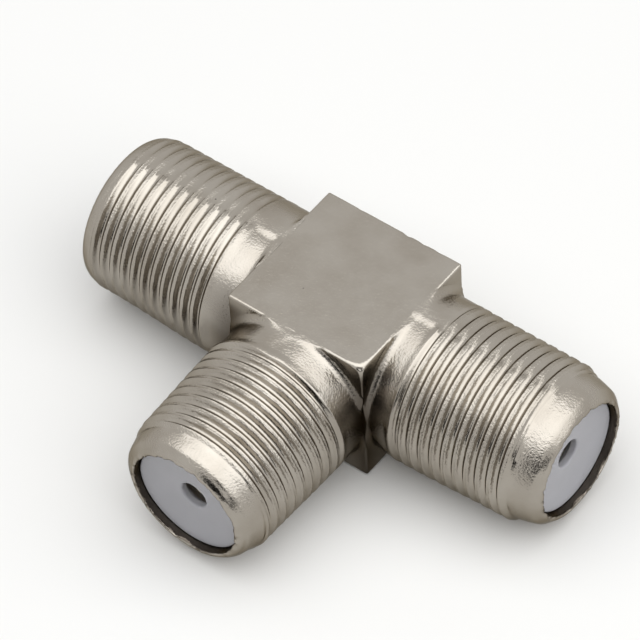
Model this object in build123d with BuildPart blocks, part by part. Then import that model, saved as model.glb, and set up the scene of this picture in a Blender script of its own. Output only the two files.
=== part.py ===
from build123d import *
import os

os.makedirs("parts", exist_ok=True)

# Coaxial tee splitter: one cast, nickel plated body with three threaded F ports. Inside it are
# three insulators and the two spring contacts that join the centre conductors.
# Millimetres, +Z up. The two run ports lie along X, the branch port points to -Y.
# The origin is on the block's flat underside, below the point where the port axes cross.

# Port thread, 3/8-32 UNEF, modelled as rings at the true pitch and depth
thread_major_d = 9.5
thread_pitch = 25.4 / 32
thread_depth = 0.46

# Distance from the crossing of the axes to each rim
run_reach = 15.8
branch_reach = 15.0

# Block in the middle of the casting, its front and back measured from the run axis
block_width = 9.2
block_front = 4.78
block_back = 4.46
block_height = 9.3
block_edge = 0.2

# Plain necks between block and thread; each port has as many grooves as leave this much neck
neck_d = 9.4
shortest_neck = 1.7

# Nose in front of the thread, domed and rolled in to a thin rim; the left port has almost no
# straight part there, so its thread runs further out
nose_root_d = 8.84
nose_straight = 0.8
left_nose_straight = 0.05
dome_length = 1.0
dome_mid_d = 8.52
dome_mid_back = 0.47
rim_outer_d = 7.84

# Stepped bore of each port, its depth measured from the rim
mouth_d = 6.94
mouth_depth = 6.6
core_bore_d = 4.8

# Insulator with its dished face and the hole for the centre conductor
face_recess = 0.5
dish_depth = 0.38
web_thickness = 0.6
entry_hole_d = 1.7
insulator_bore_d = 2.8

# Turned contacts, each socket split into two spring leaves
contact_d = 2.7
contact_setback = 0.17
socket_d = 1.1
socket_mouth_d = 1.36
socket_lead_in = 0.13
socket_depth = 4.2
leaf_length = 3.4
leaf_slot = 0.3

# Tail of the branch contact, held in a cross hole of the run contact
tail_d = 1.1

# Clearance between the pieces
fit_gap = 0.03

axis_height = block_height / 2
thread_r = thread_major_d / 2
block_depth = block_front + block_back
block_middle = (block_back - block_front) / 2
contact_r = contact_d / 2
thread_end_slope = thread_pitch / 3

# Places of the ports, each pointing out along its own local Z
right_port = Location((0, 0, axis_height), (0, 90, 0))
left_port = Location((0, 0, axis_height), (0, -90, 0))
branch_port = Location((0, 0, axis_height), (90, 0, 0))


# Solid of revolution about local Z from a closed outline of (radius, height) points
def turned(outline):
    with BuildPart() as blank:
        with BuildSketch(Plane.XZ):
            with BuildLine():
                Polyline(*outline, close=True)
            make_face()
        revolve(axis=Axis.Z)
    return blank.part


# Plain neck, thread and nose of one port, starting on a face of the block
def port_barrel(face, reach, straight):
    dome_start = reach - dome_length
    nose_start = dome_start - straight
    last_crest = nose_start - thread_end_slope
    grooves = int((last_crest - face - shortest_neck) / thread_pitch)
    first_crest = last_crest - grooves * thread_pitch
    outline = [(0, face), (neck_d / 2, face), (neck_d / 2, first_crest)]
    for n in range(grooves):
        crest = first_crest + n * thread_pitch
        outline.append((thread_r - thread_depth, crest + thread_pitch / 2))
        outline.append((thread_r, crest + thread_pitch))
    outline.append((nose_root_d / 2, nose_start))
    outline.append((nose_root_d / 2, dome_start))
    outline.append((dome_mid_d / 2, reach - dome_mid_back))
    outline.append((rim_outer_d / 2, reach))
    outline.append((0, reach))
    return turned(outline)


# Bore of one port, from the crossing of the axes to beyond the rim
def port_bore(reach):
    return turned(
        [
            (0, 0),
            (core_bore_d / 2, 0),
            (core_bore_d / 2, reach - mouth_depth),
            (mouth_d / 2, reach - mouth_depth),
            (mouth_d / 2, reach + fit_gap),
            (0, reach + fit_gap),
        ]
    )


right_barrel = port_barrel(block_width / 2, run_reach, nose_straight)
left_barrel = port_barrel(block_width / 2, run_reach, left_nose_straight)
branch_barrel = port_barrel(block_front, branch_reach, nose_straight)
run_bore = port_bore(run_reach)
branch_bore = port_bore(branch_reach)

# The casting: block, necks, threaded barrels and the bores that meet in the middle
with BuildPart() as body:
    with Locations((0, block_middle, axis_height)):
        Box(block_width, block_depth, block_height)
    chamfer(body.edges(), length=block_edge)
    with Locations(right_port):
        add(right_barrel)
    with Locations(left_port):
        add(left_barrel)
    with Locations(branch_port):
        add(branch_barrel)
    with Locations(right_port, left_port):
        add(run_bore, mode=Mode.SUBTRACT)
    with Locations(branch_port):
        add(branch_bore, mode=Mode.SUBTRACT)
body.part.label = "body"
export_step(body.part, "parts/body.step")


# Insulator of one port: a capped sleeve with a dished face, seated on the step of the bore
def port_insulator(reach):
    sleeve_r = mouth_d / 2 - fit_gap
    hole_r = entry_hole_d / 2
    bore_r = insulator_bore_d / 2
    face = reach - face_recess
    web_back = face - dish_depth - web_thickness
    return turned(
        [
            (hole_r, face - dish_depth),
            (sleeve_r, face),
            (sleeve_r, reach - mouth_depth),
            (bore_r, reach - mouth_depth),
            (bore_r, web_back),
            (hole_r, web_back),
        ]
    )


ports = {
    "run_right": (right_port, run_reach),
    "run_left": (left_port, run_reach),
    "branch": (branch_port, branch_reach),
}
for name, (port, reach) in ports.items():
    insulator = port_insulator(reach).moved(port)
    insulator.label = name + "_insulator"
    export_step(insulator, "parts/" + insulator.label + ".step")


# Split socket at the outer end of a contact, in half section from its shank to its blind end
def socket_outline(reach):
    mouth = reach - face_recess - dish_depth - web_thickness - contact_setback
    return [
        (contact_r, mouth),
        (socket_mouth_d / 2, mouth),
        (socket_d / 2, mouth - socket_lead_in),
        (socket_d / 2, mouth - socket_depth),
        (0, mouth - socket_depth),
    ]


# The slot that parts the leaves of one socket
def leaf_gap(reach):
    with BuildPart() as gap:
        with Locations((0, 0, reach - face_recess - dish_depth - web_thickness)):
            Box(
                2 * contact_d,
                leaf_slot,
                leaf_length,
                align=(Align.CENTER, Align.CENTER, Align.MAX),
            )
    return gap.part


run_half = turned([(0, 0), (contact_r, 0), *socket_outline(run_reach)])
run_gap = leaf_gap(run_reach)
branch_gap = leaf_gap(branch_reach)

# Run contact: one rod with a socket at each end and a cross hole for the branch contact's tail
with BuildPart() as run_contact:
    with Locations(right_port, left_port):
        add(run_half)
    with Locations(right_port, left_port):
        add(run_gap, mode=Mode.SUBTRACT)
    with Locations(branch_port):
        Cylinder(
            tail_d / 2 + fit_gap,
            contact_d,
            align=(Align.CENTER, Align.CENTER, Align.MIN),
            mode=Mode.SUBTRACT,
        )
run_contact.part.label = "run_contact"
export_step(run_contact.part, "parts/run_contact.step")

branch_blank = turned(
    [
        (0, fit_gap),
        (tail_d / 2, fit_gap),
        (tail_d / 2, contact_r),
        (contact_r, contact_r),
        *socket_outline(branch_reach),
    ]
)

# Branch contact: one rod with a socket in front and a tail behind, its shoulder on the run contact
with BuildPart() as branch_contact:
    with Locations(branch_port):
        add(branch_blank)
        add(branch_gap, mode=Mode.SUBTRACT)
branch_contact.part.label = "branch_contact"
export_step(branch_contact.part, "parts/branch_contact.step")
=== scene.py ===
# Coaxial tee splitter: a satin nickel plated casting with three threaded ports, white
# insulators and the contacts behind them. All shapes are worked out in millimetres.
import math

import bpy
import numpy as np
from mathutils import Matrix, Vector


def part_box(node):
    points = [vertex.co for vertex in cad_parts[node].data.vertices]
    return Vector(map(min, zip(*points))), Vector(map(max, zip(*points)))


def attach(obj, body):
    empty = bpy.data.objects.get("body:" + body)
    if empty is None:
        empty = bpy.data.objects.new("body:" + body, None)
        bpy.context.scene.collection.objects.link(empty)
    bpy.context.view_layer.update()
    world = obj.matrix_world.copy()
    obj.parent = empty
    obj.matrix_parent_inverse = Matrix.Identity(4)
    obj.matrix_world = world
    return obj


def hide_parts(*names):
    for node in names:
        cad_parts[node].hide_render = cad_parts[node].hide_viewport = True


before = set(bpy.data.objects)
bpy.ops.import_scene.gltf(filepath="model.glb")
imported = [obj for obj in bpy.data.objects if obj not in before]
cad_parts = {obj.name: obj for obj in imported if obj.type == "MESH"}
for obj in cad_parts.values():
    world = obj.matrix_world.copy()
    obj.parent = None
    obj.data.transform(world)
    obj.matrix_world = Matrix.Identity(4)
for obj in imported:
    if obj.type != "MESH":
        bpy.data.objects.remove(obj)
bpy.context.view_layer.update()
mm = 0.001
rng = np.random.default_rng(38)

# Sizes read from the CAD frame
bodyLow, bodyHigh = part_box("body")
threadRadius = (bodyHigh.z - bodyLow.z) / 2 / mm
axisHeight = (bodyHigh.z + bodyLow.z) / 2 / mm
runReach = bodyHigh.x / mm
branchReach = -bodyLow.y / mm
floorHeight = bodyLow.z
print(
    "frame loaded: run reach %.2f, branch reach %.2f, crest radius %.2f mm"
    % (runReach, branchReach, threadRadius)
)


def linear(hexColour):
    out = []
    for i in (1, 3, 5):
        c = int(hexColour[i : i + 2], 16) / 255
        out.append(c / 12.92 if c <= 0.04045 else ((c + 0.055) / 1.055) ** 2.4)
    return (*out, 1.0)


def addNode(tree, kind, settings=None, **links):
    # settings go to the node, links to its sockets: a socket to link from, or a value
    node = tree.nodes.new(kind)
    for key, value in (settings or {}).items():
        setattr(node, key, value)
    for key, value in links.items():
        byNumber = key[0] == "i" and key[1:].isdigit()
        socket = node.inputs[int(key[1:]) if byNumber else key.replace("_", " ")]
        if isinstance(value, bpy.types.NodeSocket):
            tree.links.new(value, socket)
        else:
            socket.default_value = value
    return node


def noiseIn(tree, place, size, detail=2.0, **links):
    # noise whose features are about size mm wide
    node = addNode(tree, "ShaderNodeTexNoise", Vector=place, Scale=1 / mm / size, Detail=detail, **links)
    return node.outputs["Fac"]


def remap(tree, value, fromLow, fromHigh, toLow, toHigh):
    node = addNode(tree, "ShaderNodeMapRange", Value=value, i1=fromLow, i2=fromHigh, i3=toLow, i4=toHigh)
    return node.outputs["Result"]


def mixColours(tree, share, first, second):
    node = addNode(tree, "ShaderNodeMix", {"data_type": "RGBA"}, i0=share, i6=first, i7=second)
    return node.outputs[2]


def newMaterial(name):
    mat = bpy.data.materials.new(name)
    mat.use_nodes = True
    tree = mat.node_tree
    tree.nodes.clear()
    out = tree.nodes.new("ShaderNodeOutputMaterial")
    place = tree.nodes.new("ShaderNodeTexCoord").outputs["Object"]
    return mat, tree, out, place


# Value noise on arrays, repeatable, used for casting waviness, burrs and ragged rims
lattice = rng.random(4096)


def valueNoise(x, y, z=0.0):
    x, y, z = np.broadcast_arrays(np.asarray(x, float), y, z)
    cells = [np.floor(a).astype(np.int64) for a in (x, y, z)]
    parts = [a - c for a, c in zip((x, y, z), cells)]
    parts = [f * f * (3 - 2 * f) for f in parts]
    total = 0
    for dx in (0, 1):
        for dy in (0, 1):
            for dz in (0, 1):
                key = (cells[0] + dx) * 73 + (cells[1] + dy) * 1987 + (cells[2] + dz) * 311
                weight = (
                    (parts[0] if dx else 1 - parts[0])
                    * (parts[1] if dy else 1 - parts[1])
                    * (parts[2] if dz else 1 - parts[2])
                )
                total = total + weight * lattice[key % 4096]
    return total * 2 - 1


def smoothStep(low, high, x):
    t = np.clip((np.asarray(x, float) - low) / (high - low), 0, 1)
    return t * t * (3 - 2 * t)


def softMin(a, b, k):
    h = np.clip(0.5 + 0.5 * (b - a) / k, 0, 1)
    return b * (1 - h) + a * h - k * h * (1 - h)


# Painted shade, in mm: where the nickel's colour is darkened as if in shade: the two corners between
# a run port and the branch port, up to a height above the axis, and the insides of the ports
paintedShadeZones = {
    "cornerX": 4.75,
    "cornerY": 4.9,
    "cornerSize": 1.3,
    "share": 0.9,
    "fadeFrom": 3.6,
    "fadeTo": 4.4,
    "boreRadius": 3.5,
    "behindRim": 0.05,
}


def paintedShadeAt(p):
    d = paintedShadeZones
    away = np.hypot(np.abs(p[:, 0]) - d["cornerX"], p[:, 1] + d["cornerY"])
    nearTop = smoothStep(axisHeight + d["fadeFrom"], axisHeight + d["fadeTo"], p[:, 2])
    corner = d["share"] * np.exp(-((away / d["cornerSize"]) ** 2)) * (1 - nearTop)
    x, y, z = p[:, 0], p[:, 1], p[:, 2] - axisHeight
    inRun = (np.hypot(y, z) < d["boreRadius"]) & (np.abs(x) < runReach - d["behindRim"])
    inBranch = (np.hypot(x, z) < d["boreRadius"]) & (y > d["behindRim"] - branchReach) & (y < 0)
    return np.where(inRun | inBranch, d["share"], corner)


# Points closer than this, in mm, become one vertex
mergeDistance = 2e-5


class Skin:
    # gathers vertices in mm and faces, then makes one object
    def __init__(self):
        self.points = []
        self.grit = []
        self.faces = []
        self.count = 0

    def add(self, points, faces, grit):
        self.points.append(np.asarray(points, float))
        self.grit.append(np.broadcast_to(np.asarray(grit, float), len(points)))
        self.faces += [tuple(int(i) + self.count for i in f) for f in faces]
        self.count += len(points)

    def build(self, name, material, sharpAngle):
        points = np.vstack(self.points)
        keys = np.round(points / mergeDistance).astype(np.int64)
        _, first, index = np.unique(keys, axis=0, return_index=True, return_inverse=True)
        index = index.reshape(-1)
        faces = []
        for f in self.faces:
            g = [int(index[i]) for i in f]
            g = [a for a, b in zip(g, g[1:] + g[:1]) if a != b]
            if len(set(g)) >= 3:
                faces.append(g)
        mesh = bpy.data.meshes.new(name)
        mesh.from_pydata((points[first] * mm).tolist(), [], faces)
        mesh.validate()
        mesh.shade_smooth()
        mesh.set_sharp_from_angle(angle=math.radians(sharpAngle))
        mesh.materials.append(material)
        # painted shade: how far the colour darkens in the inner corners and inside the ports
        paintedShade = mesh.attributes.new("paintedShade", "FLOAT", "POINT")
        paintedShade.data.foreach_set("value", paintedShadeAt(points[first]).astype(np.float32))
        grit = mesh.attributes.new("grit", "FLOAT", "POINT")
        grit.data.foreach_set("value", np.concatenate(self.grit)[first].astype(np.float32))
        piece = bpy.data.objects.new(name, mesh)
        bpy.context.scene.collection.objects.link(piece)
        return piece


def ringFaces(rows, columns):
    # quads between closed rings of points
    faces = []
    for a in range(rows - 1):
        low, high = a * columns, (a + 1) * columns
        for b in range(columns):
            c = (b + 1) % columns
            faces.append((low + b, low + c, high + c, high + b))
    return faces


# Nickel over a tumbled zinc casting; sizes in mm
nickel = {
    "colour": "#A49E95",  # warm grey of nickel
    "duller": "#968F85",
    "edgeColour": "#B4AEA4",  # what it turns to where it is seen at a slant
    "paintedShadeColour": "#453E37",  # painted shade in the inner corners, inside the ports and in the pits
    "roughness": 0.13,
    "smoother": 0.02,  # how far the clouds lower and raise the roughness
    "rougher": 0.04,
    "gritRoughness": 0.1,
    "grainSize": 0.13,  # grain of the casting under the plating
    "grainSlope": 0.15,
    "grainHeight": 4,  # bump distance over the height that the slope gives
    "waveSize": 0.6,
    "waveStrength": 0.3,
    "waveHeight": 0.012,
    "cloudSize": 2.4,
    "pitSpacing": 1.9,
    "pitFloor": 0.018,  # as shares of the spacing: where a pit's floor ends and its edge ends
    "pitEdge": 0.034,
    "pitShare": 0.7,
}


def satinNickel():
    # bright but not mirror-like: the grain breaks up the edges of every reflection
    mat, tree, out, place = newMaterial("nickel plating over a zinc casting")
    grit = addNode(tree, "ShaderNodeAttribute", {"attribute_name": "grit"}).outputs["Fac"]
    grain = noiseIn(tree, place, nickel["grainSize"], Roughness=0.55)
    wave = noiseIn(tree, place, nickel["waveSize"])
    cloud = noiseIn(tree, place, nickel["cloudSize"], 3.0)
    smoothest = nickel["roughness"] - nickel["smoother"]
    roughest = nickel["roughness"] + nickel["rougher"]
    base = remap(tree, cloud, 0.3, 0.7, smoothest, roughest)
    rough = addNode(
        tree,
        "ShaderNodeMath",
        {"operation": "MULTIPLY_ADD"},
        i0=grit,
        i1=nickel["gritRoughness"],
        i2=base,
    )
    tone = remap(tree, cloud, 0.35, 0.75, 0.0, 1.0)
    colour = mixColours(tree, tone, linear(nickel["colour"]), linear(nickel["duller"]))
    # painted shade: the colour darkens in the inner corners and inside the ports
    paintedShade = addNode(tree, "ShaderNodeAttribute", {"attribute_name": "paintedShade"}).outputs["Fac"]
    colour = mixColours(tree, paintedShade, colour, linear(nickel["paintedShadeColour"]))
    # a few pits in the casting, about 0.1 mm wide, drawn only as spots of painted shade
    cells = addNode(tree, "ShaderNodeTexVoronoi", Vector=place, Scale=1 / mm / nickel["pitSpacing"])
    fromPit = cells.outputs["Distance"]
    pit = remap(tree, fromPit, nickel["pitFloor"], nickel["pitEdge"], nickel["pitShare"], 0.0)
    colour = mixColours(tree, pit, colour, linear(nickel["paintedShadeColour"]))
    depth = nickel["grainSlope"] * nickel["grainSize"] / 2 * mm
    fine = addNode(
        tree,
        "ShaderNodeBump",
        Strength=grit,
        Distance=depth * nickel["grainHeight"],
        Height=grain,
    )
    coarse = addNode(
        tree,
        "ShaderNodeBump",
        Strength=nickel["waveStrength"],
        Distance=nickel["waveHeight"] * mm,
        Height=wave,
        Normal=fine.outputs["Normal"],
    )
    metal = addNode(
        tree,
        "ShaderNodeBsdfPrincipled",
        Metallic=1.0,
        Base_Color=colour,
        Specular_Tint=linear(nickel["edgeColour"]),
        Roughness=rough.outputs[0],
        Normal=coarse.outputs["Normal"],
    )
    tree.links.new(metal.outputs[0], out.inputs["Surface"])
    return mat


# Moulded natural polyethylene; sizes in mm
polyethylene = {
    "darker": "#A5A4A8",
    "lighter": "#AEADB1",
    "mottleSize": 1.4,
    "grainSize": 0.15,
    "grainStrength": 0.1,
    "grainHeight": 0.02,
    "roughness": 0.42,
    "refraction": 1.51,
    "scatter": 0.5,
    "scatterDepth": 0.6,
}


def naturalPolyethylene():
    # milky grey, lets a little light in, softly glossy
    mat, tree, out, place = newMaterial("natural polyethylene, moulded")
    mottle = noiseIn(tree, place, polyethylene["mottleSize"])
    colour = mixColours(tree, mottle, linear(polyethylene["darker"]), linear(polyethylene["lighter"]))
    bump = addNode(
        tree,
        "ShaderNodeBump",
        Strength=polyethylene["grainStrength"],
        Distance=polyethylene["grainHeight"] * mm,
        Height=noiseIn(tree, place, polyethylene["grainSize"]),
    )
    plastic = addNode(
        tree,
        "ShaderNodeBsdfPrincipled",
        Base_Color=colour,
        Roughness=polyethylene["roughness"],
        IOR=polyethylene["refraction"],
        Subsurface_Weight=polyethylene["scatter"],
        Subsurface_Radius=(1.0, 1.0, 1.0),
        Subsurface_Scale=polyethylene["scatterDepth"] * mm,
        Normal=bump.outputs["Normal"],
    )
    tree.links.new(plastic.outputs[0], out.inputs["Surface"])
    return mat


# Turned brass with a tin coat, dull and grey
brass = {
    "colour": "#B9B1A2",
    "streakSize": 0.2,
    "smoothest": 0.3,
    "roughest": 0.45,
}


def tinnedBrass():
    mat, tree, out, place = newMaterial("tinned brass, turned")
    streak = noiseIn(tree, place, brass["streakSize"])
    metal = addNode(
        tree,
        "ShaderNodeBsdfPrincipled",
        Metallic=1.0,
        Base_Color=linear(brass["colour"]),
        Roughness=remap(tree, streak, 0.3, 0.7, brass["smoothest"], brass["roughest"]),
    )
    tree.links.new(metal.outputs[0], out.inputs["Surface"])
    return mat


nickelMat = satinNickel()
plasticMat = naturalPolyethylene()
contactMat = tinnedBrass()

# The casting, in mm; heights are above or below the axis of the ports
casting = {
    "pitch": 0.74,
    "grooveDepth": 0.28,
    "crestTrim": 0.004,  # keeps the crests just inside the CAD box
    "boxTrim": 0.005,
    "lipShare": 0.15,  # what drops less than this share of the depth is a lip
    "lipBurr": 0.03,
    "flash": 0.05,  # crushed lips where the dies meet
    "flashWidth": 0.09,
    "threadFadeIn": 0.4,
    "threadFadeOut": 0.15,
    "frontFrom": -0.1,  # sine of the angle at which the grooves of the front half begin
    "frontTo": 0.75,  # and reach their full depth
    "endBack": 0.28,  # the slope that ends the thread
    "endLength": 0.26,
    "endFloor": 0.35,
    "neckRadius": 4.70,
    "neckBlend": 0.45,
    "neckFlat": 0.12,  # rounding between a neck and the flats that it takes from the block
    "neckWave": 0.012,
    "neckSunk": 0.16,  # how far a neck starts inside the block
    "neckSeam": 0.06,
    "neckToThread": 0.25,
    "dieStep": 0.05,
    "clipHeight": 4.66,
    "mouthRadius": 3.47,
    "boreBack": 0.85,  # where the bore behind the rim takes over from the rim's own inside
    "blockHalfWidth": 4.6,
    "blockFront": 4.78,
    "blockBack": 4.46,
    "blockHalfHeight": 4.65,
    "blockEdge": 0.13,
    "blunting": 0.3,
    "bluntReach": 0.6,
    "blockWave": 0.008,
    "waveRate": 0.9,
    "columns": 132,
}

# The barrels are fuller near the block, in mm: the run ports on their front, the branch
# all round, though it leans to -X
taper = {
    "from": 6.5,
    "to": 14.0,
    "fadeIn": 1.6,
    "run": 0.26,
    "branch": 0.18,
    "branchThinner": 0.13,
    "branchLean": 0.09,
}

# How rough the plating is, as a share
gritOf = {"neck": 0.6, "groove": 0.25, "rim": 0.3, "nose": 0.85, "block": 0.3, "bore": 0.5}
crestShare = 0.4

# Noise on the casting: changes per radian around it, changes along it, and a layer
noiseRates = {
    "burr": (22, 3.1, 3.0),
    "fineBurr": (55, 5.3, 8.0),
    "flash": (40, 2.3, 12.0),
    "neck": (5, 1.5, 1.0),
    "tear": (9, 0.0, 5.0),
    "fineTear": (24, 0.0, 7.0),
    "nose": (6, 3, 9.0),
}

# The noses list distance behind the rim and radius
longNose = [
    (1.5, 4.415),
    (1.2, 4.345),
    (0.9, 4.27),
    (0.68, 4.215),
    (0.56, 4.17),
    (0.49, 4.12),
    (0.4, 4.04),
    (0.3, 3.94),
    (0.2, 3.84),
    (0.1, 3.74),
    (0.04, 3.67),
]
shortNose = [(0.6, 4.63), (0.42, 4.58), (0.26, 4.5), (0.14, 4.4), (0.06, 4.27), (0.01, 4.1), (0.0, 3.9)]

# Inside the rim: distance behind it, and radius over that of the mouth
rimInside = [(0.0, 0.07), (0.03, 0.01), (0.1, -0.01), (0.3, -0.01), (0.62, -0.005), (0.9, 0)]

# The rim is torn a little where it was trimmed, in mm; tearOutside and tearRadius are shares
rim = {
    "wall": 0.2,  # what lies this close to the mouth's radius is the rim's inside
    "tearBack": 0.16,
    "tear": 0.035,
    "fineTear": 0.08,
    "tearOutside": 0.35,
    "tearRadius": 0.5,
    "smoothBack": 0.52,
    "waveFrom": 0.3,
    "waveTo": 1.4,
    "wave": 0.008,
}

# outward points out of the port and side = outward x up, so +side is -Y, +Y and -X.
# crestAtTop is where a crest passes the top, and minusFace and plusFace are the block's
# faces on the -side and +side.
ports = {
    "right": {
        "outward": (1, 0, 0),
        "reach": runReach,
        "face": casting["blockHalfWidth"],
        "crestAtTop": 0.15,
        "threadStart": 6.3,
        "threadEnd": 13.95,
        "noseRadius": 4.43,
        "nose": longNose,
        "minusFace": casting["blockBack"],
        "plusFace": casting["blockFront"],
        "backSide": -1,
        "backDepth": 0.7,  # the back die is more worn than the front one
    },
    "left": {
        "outward": (-1, 0, 0),
        "reach": runReach,
        "face": casting["blockHalfWidth"],
        "crestAtTop": 0.15,
        "threadStart": 6.7,
        "threadEnd": 15.1,
        "noseRadius": 4.66,
        "nose": shortNose,
        "minusFace": casting["blockFront"],
        "plusFace": casting["blockBack"],
        "backSide": 1,
        "backDepth": 0.3,
    },
    "branch": {
        "outward": (0, -1, 0),
        "reach": branchReach,
        "face": casting["blockFront"],
        "crestAtTop": 0.02,
        "threadStart": 6.72,
        "threadEnd": 13.55,
        "noseRadius": 4.41,
        "nose": longNose[1:],
        "minusFace": casting["blockHalfWidth"],
        "plusFace": casting["blockHalfWidth"],
        "backSide": 0,
        "backDepth": 1.0,
    },
}


def noiseOn(name, phi, along):
    around, rate, layer = noiseRates[name]
    return valueNoise(phi * around, along * rate, layer)


def columnAngles():
    # two columns lie close together at the top and the bottom, where the dies meet
    n = casting["columns"]
    angles = (np.arange(n) + 0.5) * 2 * np.pi / n
    close = math.radians(0.25)
    angles[0], angles[n - 1] = close, 2 * np.pi - close
    angles[n // 2 - 1], angles[n // 2] = np.pi - close, np.pi + close
    return angles


def portPoints(port, phi, s, r):
    # phi is the angle from the top, s the distance along the port and r the radius
    outward = np.array(port["outward"], float)
    up = np.array((0.0, 0.0, 1.0))
    side = np.cross(outward, up)
    phi, s, r = np.broadcast_arrays(phi, s, r)
    d = np.cos(phi)[..., None] * up + np.sin(phi)[..., None] * side
    return s[..., None] * outward + r[..., None] * d + np.array((0, 0, axisHeight))


def backness(port, phi):
    # 1 on the half of a run port that faces back, -1 on the other
    return port["backSide"] * np.clip(np.sin(phi) * 400, -1, 1)


def taperAt(port, phi, s):
    near = 1 - smoothStep(taper["from"], taper["to"], s)
    if port["backSide"]:
        front = np.maximum(-port["backSide"] * np.sin(phi), 0)
        return taper["run"] * near * front
    return taper["branch"] * near - taper["branchThinner"] + taper["branchLean"] * np.sin(phi)


def heightShare(phi):
    # how much of a radius along phi is height above or below the axis
    return np.maximum(np.abs(np.cos(phi)), 1e-6)


def insideBox(phi, r):
    # nothing stands above or below the CAD threads
    return np.minimum(r, (threadRadius - casting["boxTrim"]) / heightShare(phi))


def sectionRadius(port, phi):
    # distance to the block's square section along phi
    sine = np.sin(phi)
    flat = casting["blockHalfHeight"] / heightShare(phi)
    lateral = np.where(sine > 0, port["plusFace"], port["minusFace"]) / np.maximum(np.abs(sine), 1e-6)
    return np.minimum(flat, lateral)


def neckRadiusAt(port, phi, s):
    # the dies meet at the top and bottom of a run neck, the back half a little high
    shift = casting["dieStep"] * backness(port, phi)
    along = np.cos(phi) * shift
    r = along + np.sqrt(casting["neckRadius"] ** 2 - shift**2 + along**2)
    if port["backSide"]:
        r = r + taperAt(port, phi, s) * smoothStep(port["face"], port["face"] + taper["fadeIn"], s)
    t = np.clip((s - port["face"]) / casting["neckBlend"], 0, 1)
    r = r + casting["neckBlend"] * (1 - np.sqrt(1 - (1 - t) ** 2))
    return softMin(r, sectionRadius(port, phi), casting["neckFlat"])


# One pitch of thread from crest centre to crest centre: phase, and drop as a share of the depth.
# The crest is wide, closed by rolling, with a shallow seam between its two lips.
threadProfile = [
    (0, 0.09),
    (0.09, 0.02),
    (0.13, 0.0),
    (0.17, 0.14),
    (0.22, 0.38),
    (0.28, 0.62),
    (0.35, 0.82),
    (0.42, 0.95),
    (0.5, 1.0),
    (0.58, 0.95),
    (0.65, 0.82),
    (0.72, 0.62),
    (0.78, 0.38),
    (0.83, 0.14),
    (0.87, 0.0),
    (0.91, 0.02),
]
threadPhase, threadDrop = (np.array(v) for v in zip(*threadProfile))


def threadRadiusAt(port, phi, s):
    c = casting
    threadStart, threadEnd = port["threadStart"], port["threadEnd"]
    turns = (s - port["crestAtTop"]) / c["pitch"] - phi / (2 * np.pi)
    phase = turns - np.floor(turns)
    drop = np.interp(phase, np.append(threadPhase, 1.0), np.append(threadDrop, threadDrop[0]))
    crest = threadRadius - c["crestTrim"] + taperAt(port, phi, s)
    lip = np.clip(1 - drop / c["lipShare"], 0, 1)
    burr = noiseOn("burr", phi, turns) * 0.5 + noiseOn("fineBurr", phi, turns) * 0.5
    burr = c["lipBurr"] * (0.35 + 0.65 * burr) * lip
    # flash and crushed lips where the dies meet
    atDie = np.exp(-((np.sin(phi) / c["flashWidth"]) ** 2)) * abs(port["backSide"])
    burr = burr + c["flash"] * atDie * lip * (0.4 + 0.6 * noiseOn("flash", phi, turns))
    fadeIn = smoothStep(threadStart, threadStart + c["threadFadeIn"], s)
    fadeOut = smoothStep(threadEnd - c["threadFadeOut"], threadEnd, s)
    fade = fadeIn * (1 - fadeOut)
    front = 1.0
    if port["backSide"]:
        front = smoothStep(c["frontFrom"], c["frontTo"], -port["backSide"] * np.sin(phi))
    depth = c["grooveDepth"] * (port["backDepth"] + (1 - port["backDepth"]) * front)
    r = crest - depth * drop * fade - np.abs(burr)
    # the upper part of the back half is clipped a little lower
    highBack = backness(port, phi) * np.cos(phi) > 0.2
    r = np.minimum(r, np.where(highBack, c["clipHeight"], threadRadius) / heightShare(phi))
    end = np.clip((s - (threadEnd - c["endBack"])) / c["endLength"], 0, 1)
    slope = crest - end * (crest - port["noseRadius"])
    r = np.minimum(r, slope)
    atEnd = s > threadEnd - c["endFloor"]
    r = np.where(atEnd, np.maximum(r, np.minimum(port["noseRadius"], slope)), r)
    return insideBox(phi, r)


def addNeck(skin, port, phi):
    c = casting
    face, start, blend = port["face"], port["threadStart"], c["neckBlend"]
    stations = [face - c["neckSunk"], face - c["neckSeam"], face]
    stations += [face + blend * (1 - math.cos(t * math.pi / 2)) for t in np.linspace(0.2, 1, 7)]
    stations += list(np.linspace(face + blend, start, 7)[1:])
    rows = []
    for s in stations:
        r = neckRadiusAt(port, phi, s) + c["neckWave"] * noiseOn("neck", phi, s)
        into = smoothStep(start - c["neckToThread"], start, s)
        r = insideBox(phi, r * (1 - into) + threadRadiusAt(port, phi, start) * into)
        rows.append(portPoints(port, phi, s, r))
    skin.add(np.vstack(rows), ringFaces(len(rows), len(phi)), gritOf["neck"])


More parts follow.
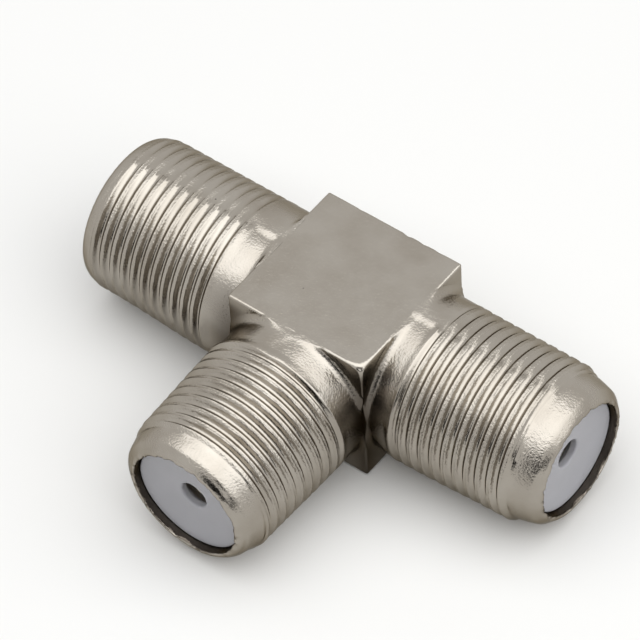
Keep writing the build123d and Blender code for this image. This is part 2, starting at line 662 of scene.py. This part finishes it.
def addThread(skin, port, phi):
    # the thread follows its own helix, so every crest is one unbroken line of edges
    n = len(phi)
    start, end = port["threadStart"], port["threadEnd"]
    pitch, steps = casting["pitch"], len(threadPhase)
    firstTurn = math.floor((start - port["crestAtTop"]) / pitch) - 1
    turnCount = math.ceil((end - port["crestAtTop"]) / pitch) + 1 - firstTurn
    i = np.arange(turnCount * n + 1)
    angle = phi[i % n] + 2 * np.pi * (i // n)
    s = port["crestAtTop"] + pitch * (firstTurn + angle[:, None] / (2 * np.pi) + threadPhase[None, :])
    s = np.clip(s, start, end)
    a = np.broadcast_to(phi[i % n][:, None], s.shape)
    points = portPoints(port, a, s, threadRadiusAt(port, a, s))
    low = gritOf["groove"]
    grit = low + (1 - low) * np.clip(1 - threadDrop / crestShare, 0, 1)
    grit = np.broadcast_to(grit[None, :], s.shape)
    index = np.arange(s.size).reshape(s.shape)
    faces = []
    clamped = np.where(s <= start, -1, np.where(s >= end, 1, 0))
    for row in range(len(i) - 1):
        for col in range(steps):
            if col + 1 < steps:
                quad = ((row, col), (row + 1, col), (row + 1, col + 1), (row, col + 1))
            elif row + 1 + n < len(i):
                quad = ((row, col), (row + 1, col), (row + 1 + n, 0), (row + n, 0))
            else:
                continue
            if abs(sum(clamped[q] for q in quad)) < 4:
                faces.append(tuple(index[q] for q in quad))
    skin.add(points.reshape(-1, 3), faces, grit.reshape(-1))


def addNose(skin, port, phi):
    # domed, with a thin rim rolled in
    n = len(phi)
    end, mouth = port["threadEnd"], casting["mouthRadius"]
    outline = [(port["reach"] - end, port["noseRadius"])] + port["nose"]
    last = outline[-1][1]
    outline.append((0.0, (last + mouth) / 2))
    outline += [(back, mouth + over) for back, over in rimInside]
    rows, grit = [], []
    for k, (back, r) in enumerate(outline):
        grit += [gritOf["rim"] if back < rim["smoothBack"] else gritOf["nose"]] * n
        atMouth = r < mouth + rim["wall"]
        if not port["backSide"] and back > rim["waveFrom"] and not atMouth:
            r = r + taperAt(port, phi, port["reach"] - back) + taper["branchThinner"]
        torn = rim["tear"] * noiseOn("tear", phi, 0.0) + rim["fineTear"] * noiseOn("fineTear", phi, 0.0)
        near = max(0.0, 1 - back / rim["tearBack"])
        inner = 1.0 if atMouth else rim["tearOutside"]
        s = port["reach"] - back - np.abs(torn) * near * inner
        wave = rim["wave"] * noiseOn("nose", phi, back) * (rim["waveFrom"] < back < rim["waveTo"])
        wall = r + torn * near * inner * (1 if atMouth else rim["tearRadius"]) + wave
        if k == 0:
            s, wall = end, threadRadiusAt(port, phi, end)
        rows.append(portPoints(port, phi, s, insideBox(phi, wall)))
    skin.add(np.vstack(rows), ringFaces(len(rows), n), grit)


# Grid of the block's faces, in mm from each edge, and its nicks: place along the back
# edge, depth and width
blockGrid = {
    "edge": [0, 0.03, 0.07, 0.11, 0.15, 0.22, 0.32, 0.44, 0.6],
    "innerFrom": 0.8,
    "innerCount": 22,
}
nicks = [(3.2, 0.06, 0.14), (1.95, 0.05, 0.12), (0.9, 0.07, 0.13), (-2.4, 0.03, 0.12)]


def addBlock(skin):
    # rounded box on a grid that is dense at its edges, with a blunted front corner
    c = casting
    low = np.array((-c["blockHalfWidth"], -c["blockFront"], axisHeight - c["blockHalfHeight"]))
    high = np.array((c["blockHalfWidth"], c["blockBack"], axisHeight + c["blockHalfHeight"]))
    middle, half = (low + high) / 2, (high - low) / 2
    corner = np.array((half[0], -half[1], half[2]))
    edge, margin = np.array(blockGrid["edge"]), blockGrid["innerFrom"]
    for axis in range(3):
        for sign in (-1, 1):
            p, q = (axis + 1) % 3, (axis + 2) % 3
            grids = []
            for k in (p, q):
                inner = np.linspace(-half[k] + margin, half[k] - margin, blockGrid["innerCount"])
                grids.append(np.concatenate([-half[k] + edge, inner, (half[k] - edge)[::-1]]))
            a, b = np.meshgrid(*grids, indexing="ij")
            points = np.zeros((*a.shape, 3))
            points[..., p], points[..., q], points[..., axis] = a, b, sign * half[axis]
            near = np.exp(-((np.linalg.norm(points - corner, axis=-1) / c["bluntReach"]) ** 2))
            radius = (c["blockEdge"] + c["blunting"] * near)[..., None]
            core = np.clip(points, -half + radius, half - radius)
            away = points - core
            length = np.maximum(np.linalg.norm(away, axis=-1, keepdims=True), 1e-9)
            points = core + away / length * np.minimum(radius, length * 10)
            world = points + middle
            for x, depth, width in nicks:
                top = np.array((x, high[1], high[2]))
                off = np.linalg.norm((world - top) * (1, 0.7, 0.7), axis=-1)
                hit = depth * np.exp(-((off / width) ** 2))
                world = world - hit[..., None] * np.array((0, 0.7, 0.7))
            x, y, z = (world[..., k] * c["waveRate"] for k in range(3))
            wave = c["blockWave"] * valueNoise(x, y, z)
            world[..., axis] -= np.abs(wave) * sign
            m, k = a.shape
            faces = []
            for u in range(m - 1):
                for v in range(k - 1):
                    quad = (u * k + v, (u + 1) * k + v, (u + 1) * k + v + 1, u * k + v + 1)
                    faces.append(quad if sign > 0 else quad[::-1])
            skin.add(world.reshape(-1, 3), faces, gritOf["block"])


def addBores(skin):
    # the bores behind the insulators are the CAD ones
    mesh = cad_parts["body"].data
    co = np.array([v.co for v in mesh.vertices]) / mm
    local = co - np.array((0, 0, axisHeight))
    inBore = np.zeros(len(co), bool)
    for port in ports.values():
        outward = np.array(port["outward"], float)
        s = local @ outward
        r = np.linalg.norm(local - s[:, None] * outward, axis=1)
        inBore |= (r < casting["mouthRadius"] + 0.02) & (s > -0.01)
        tooFar = (inBore & (s > port["reach"] - casting["boreBack"]))[:, None]
        co = np.where(tooFar, co - (s - port["reach"] + casting["boreBack"])[:, None] * outward, co)
    faces = [tuple(p.vertices) for p in mesh.polygons if all(inBore[i] for i in p.vertices)]
    skin.add(co, faces, gritOf["bore"])


skin = Skin()
angles = columnAngles()
for port in ports.values():
    addNeck(skin, port, angles)
    addThread(skin, port, angles)
    addNose(skin, port, angles)
addBlock(skin)
addBores(skin)
body = skin.build("plated_casting", nickelMat, 50)
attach(body, "root")
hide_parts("body")
print("casting: %d faces" % len(body.data.polygons))

# Insulators, in mm
insulator = {
    "radius": 3.44,
    "paintedShade": 0.5,
    "dish": 0.38,
    "dishPower": 2.4,
    "web": 0.42,
    "holeRadius": 0.85,
    "holeRounding": 0.14,
    "edgeRounding": 0.1,
    "edgeDrop": 0.03,
    "dishFrom": 0.17,  # where the dish's rings begin outside the hole
    "dishTo": 0.14,  # and end inside the edge
    "boreRadius": 1.4,
    "length": 6.6,
    "columns": 96,
}


def addInsulator(name, port):
    c = insulator
    front = port["reach"] - c["paintedShade"]
    floor = front - c["dish"]
    webBack = floor - c["web"]
    start = port["reach"] - c["length"]
    outline = [(start, c["boreRadius"]), (webBack, c["boreRadius"]), (webBack, c["holeRadius"])]
    for t in np.linspace(0, 1, 5):
        turn = t * math.pi / 2
        s = floor - c["holeRounding"] * (1 - math.sin(turn))
        outline.append((s, c["holeRadius"] + c["holeRounding"] * (1 - math.cos(turn))))
    for r in np.linspace(c["holeRadius"] + c["dishFrom"], c["radius"] - c["dishTo"], 24):
        share = (r - c["holeRadius"]) / (c["radius"] - c["holeRadius"])
        outline.append((floor + c["dish"] * share ** c["dishPower"], r))
    for t in np.linspace(0.2, 1, 4):
        turn = t * math.pi / 2
        s = front - c["edgeDrop"] - c["edgeRounding"] * (1 - math.cos(turn))
        outline.append((s, c["radius"] - c["edgeRounding"] * (1 - math.sin(turn))))
    outline.append((start, c["radius"]))
    n = c["columns"]
    phi = np.arange(n) * 2 * np.pi / n
    rows = [portPoints(port, phi, s, r) for s, r in outline]
    rows.append(rows[0])
    skin = Skin()
    skin.add(np.vstack(rows), [f[::-1] for f in ringFaces(len(rows), n)], 1.0)
    piece = skin.build(name + "_cap", plasticMat, 40)
    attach(piece, "root")
    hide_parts(name)


addInsulator("run_right_insulator", ports["right"])
addInsulator("run_left_insulator", ports["left"])
addInsulator("branch_insulator", ports["branch"])
for name in ("run_contact", "branch_contact"):
    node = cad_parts[name]
    node.data.materials.clear()
    node.data.materials.append(contactMat)
print("insulators and contacts done")

# Floor and light, in metres
studio = {
    "floorColour": "#EEECE9",
    "floorHalf": 0.5,
    "ambient": 0.31,
    "boxAim": (0.25, -0.07, 1.0),  # where the soft box hangs, above and a little towards the camera
    "boxAlong": (0.94, 0.33, 0.0),
    "boxDistance": 0.5,
    "boxLength": 1.5,
    "boxWidth": 0.74,
    "boxPower": 4.7,
    "boxSpread": 150,
    "boxColour": (0.955, 0.98, 1.0),
    "feltColour": "#17130F",
    "cardLeft": (0.05, -0.5),  # black card standing in front of the object
    "cardRight": (0.42, -0.5),
    "cardTop": 0.33,
    "lowCardRight": (0.56, -0.2),  # a lower one joins it on the right
    "lowCardTop": 0.1,
}


def addFlat(name, corners, mat):
    mesh = bpy.data.meshes.new(name)
    mesh.from_pydata(corners, [], [(0, 1, 2, 3)])
    mesh.materials.append(mat)
    flat = bpy.data.objects.new(name, mesh)
    bpy.context.scene.collection.objects.link(flat)
    return flat


def diffuseMaterial(name, colour):
    mat, tree, out, place = newMaterial(name)
    diffuse = addNode(tree, "ShaderNodeBsdfDiffuse", Color=linear(colour))
    tree.links.new(diffuse.outputs[0], out.inputs["Surface"])
    return mat


def addCard(name, left, right, top):
    # the metal reflects it, and the camera doesn't see it
    corners = [(*left, floorHeight), (*right, floorHeight), (*right, top), (*left, top)]
    flat = addFlat(name, corners, feltMat)
    flat.visible_camera = False
    return flat


floorMat = diffuseMaterial("white card", studio["floorColour"])
feltMat = diffuseMaterial("black felt", studio["feltColour"])
side = studio["floorHalf"]
floorCorners = [(x, y, floorHeight) for x, y in ((-side, -side), (side, -side), (side, side), (-side, side))]
floor = addFlat("floor", floorCorners, floorMat)
card = addCard("black_card", studio["cardLeft"], studio["cardRight"], studio["cardTop"])
lowCard = addCard("low_black_card", studio["cardRight"], studio["lowCardRight"], studio["lowCardTop"])

lampData = bpy.data.lights.new("soft_box", "AREA")
lampData.shape = "RECTANGLE"
lampData.size = studio["boxLength"]
lampData.size_y = studio["boxWidth"]
lampData.energy = studio["boxPower"]
lampData.color = studio["boxColour"]
lampData.spread = math.radians(studio["boxSpread"])
lamp = bpy.data.objects.new("soft_box", lampData)
aim = Vector(studio["boxAim"]).normalized()
across = aim.cross(Vector(studio["boxAlong"])).normalized()
lampTurn = Matrix((across.cross(aim), across, aim)).transposed().to_4x4()
lamp.matrix_world = Matrix.Translation(aim * studio["boxDistance"]) @ lampTurn
lamp.visible_camera = False
bpy.context.scene.collection.objects.link(lamp)

# White surroundings for the camera, the metal and what is seen through, dimmer as a light
world = bpy.data.worlds.new("studio")
bpy.context.scene.world = world
world.use_nodes = True
tree = world.node_tree
tree.nodes.clear()
out = tree.nodes.new("ShaderNodeOutputWorld")
rays = tree.nodes.new("ShaderNodeLightPath").outputs
either = {"operation": "MAXIMUM"}
seen = addNode(tree, "ShaderNodeMath", either, i0=rays["Is Camera Ray"], i1=rays["Is Glossy Ray"])
seen = addNode(tree, "ShaderNodeMath", either, i0=seen.outputs[0], i1=rays["Is Transmission Ray"])
around = addNode(tree, "ShaderNodeBackground", Color=(1, 1, 1, 1), Strength=studio["ambient"])
white = addNode(tree, "ShaderNodeBackground", Color=(1, 1, 1, 1), Strength=1.0)
both = addNode(tree, "ShaderNodeMixShader", i0=seen.outputs[0], i1=around.outputs[0], i2=white.outputs[0])
tree.links.new(both.outputs[0], out.inputs["Surface"])

# Camera, in degrees and mm
view = {
    "azimuth": 40.424,
    "elevation": 50.592,
    "roll": -4.002,
    "distance": 256.83,
    "objectRight": 1.575,  # how far the block's centre lies right of and below the picture's centre
    "objectDown": 0.717,
    "focalLength": 259.14,
    "sensorWidth": 36,
}
az, el, roll = (math.radians(view[k]) for k in ("azimuth", "elevation", "roll"))
back = Vector((math.sin(az) * math.cos(el), -math.cos(az) * math.cos(el), math.sin(el)))
levelRight = Vector((math.cos(az), math.sin(az), 0))
levelUp = back.cross(levelRight)
right = math.cos(roll) * levelRight + math.sin(roll) * levelUp
up = math.cos(roll) * levelUp - math.sin(roll) * levelRight
blockMiddle = Vector((0, (casting["blockBack"] - casting["blockFront"]) / 2, axisHeight))
cameraPlace = blockMiddle + back * view["distance"] - right * view["objectRight"] + up * view["objectDown"]
cameraTurn = Matrix((right, up, back)).transposed().to_4x4()
cameraData = bpy.data.cameras.new("camera")
cameraData.lens = view["focalLength"]
cameraData.sensor_width = view["sensorWidth"]
cameraData.clip_start = 0.01
cameraData.clip_end = 5
camera = bpy.data.objects.new("camera", cameraData)
camera.matrix_world = Matrix.Translation(cameraPlace * mm) @ cameraTurn
bpy.context.scene.collection.objects.link(camera)
bpy.context.scene.camera = camera
bpy.context.scene.view_settings.view_transform = "Standard"
print("studio and camera set")
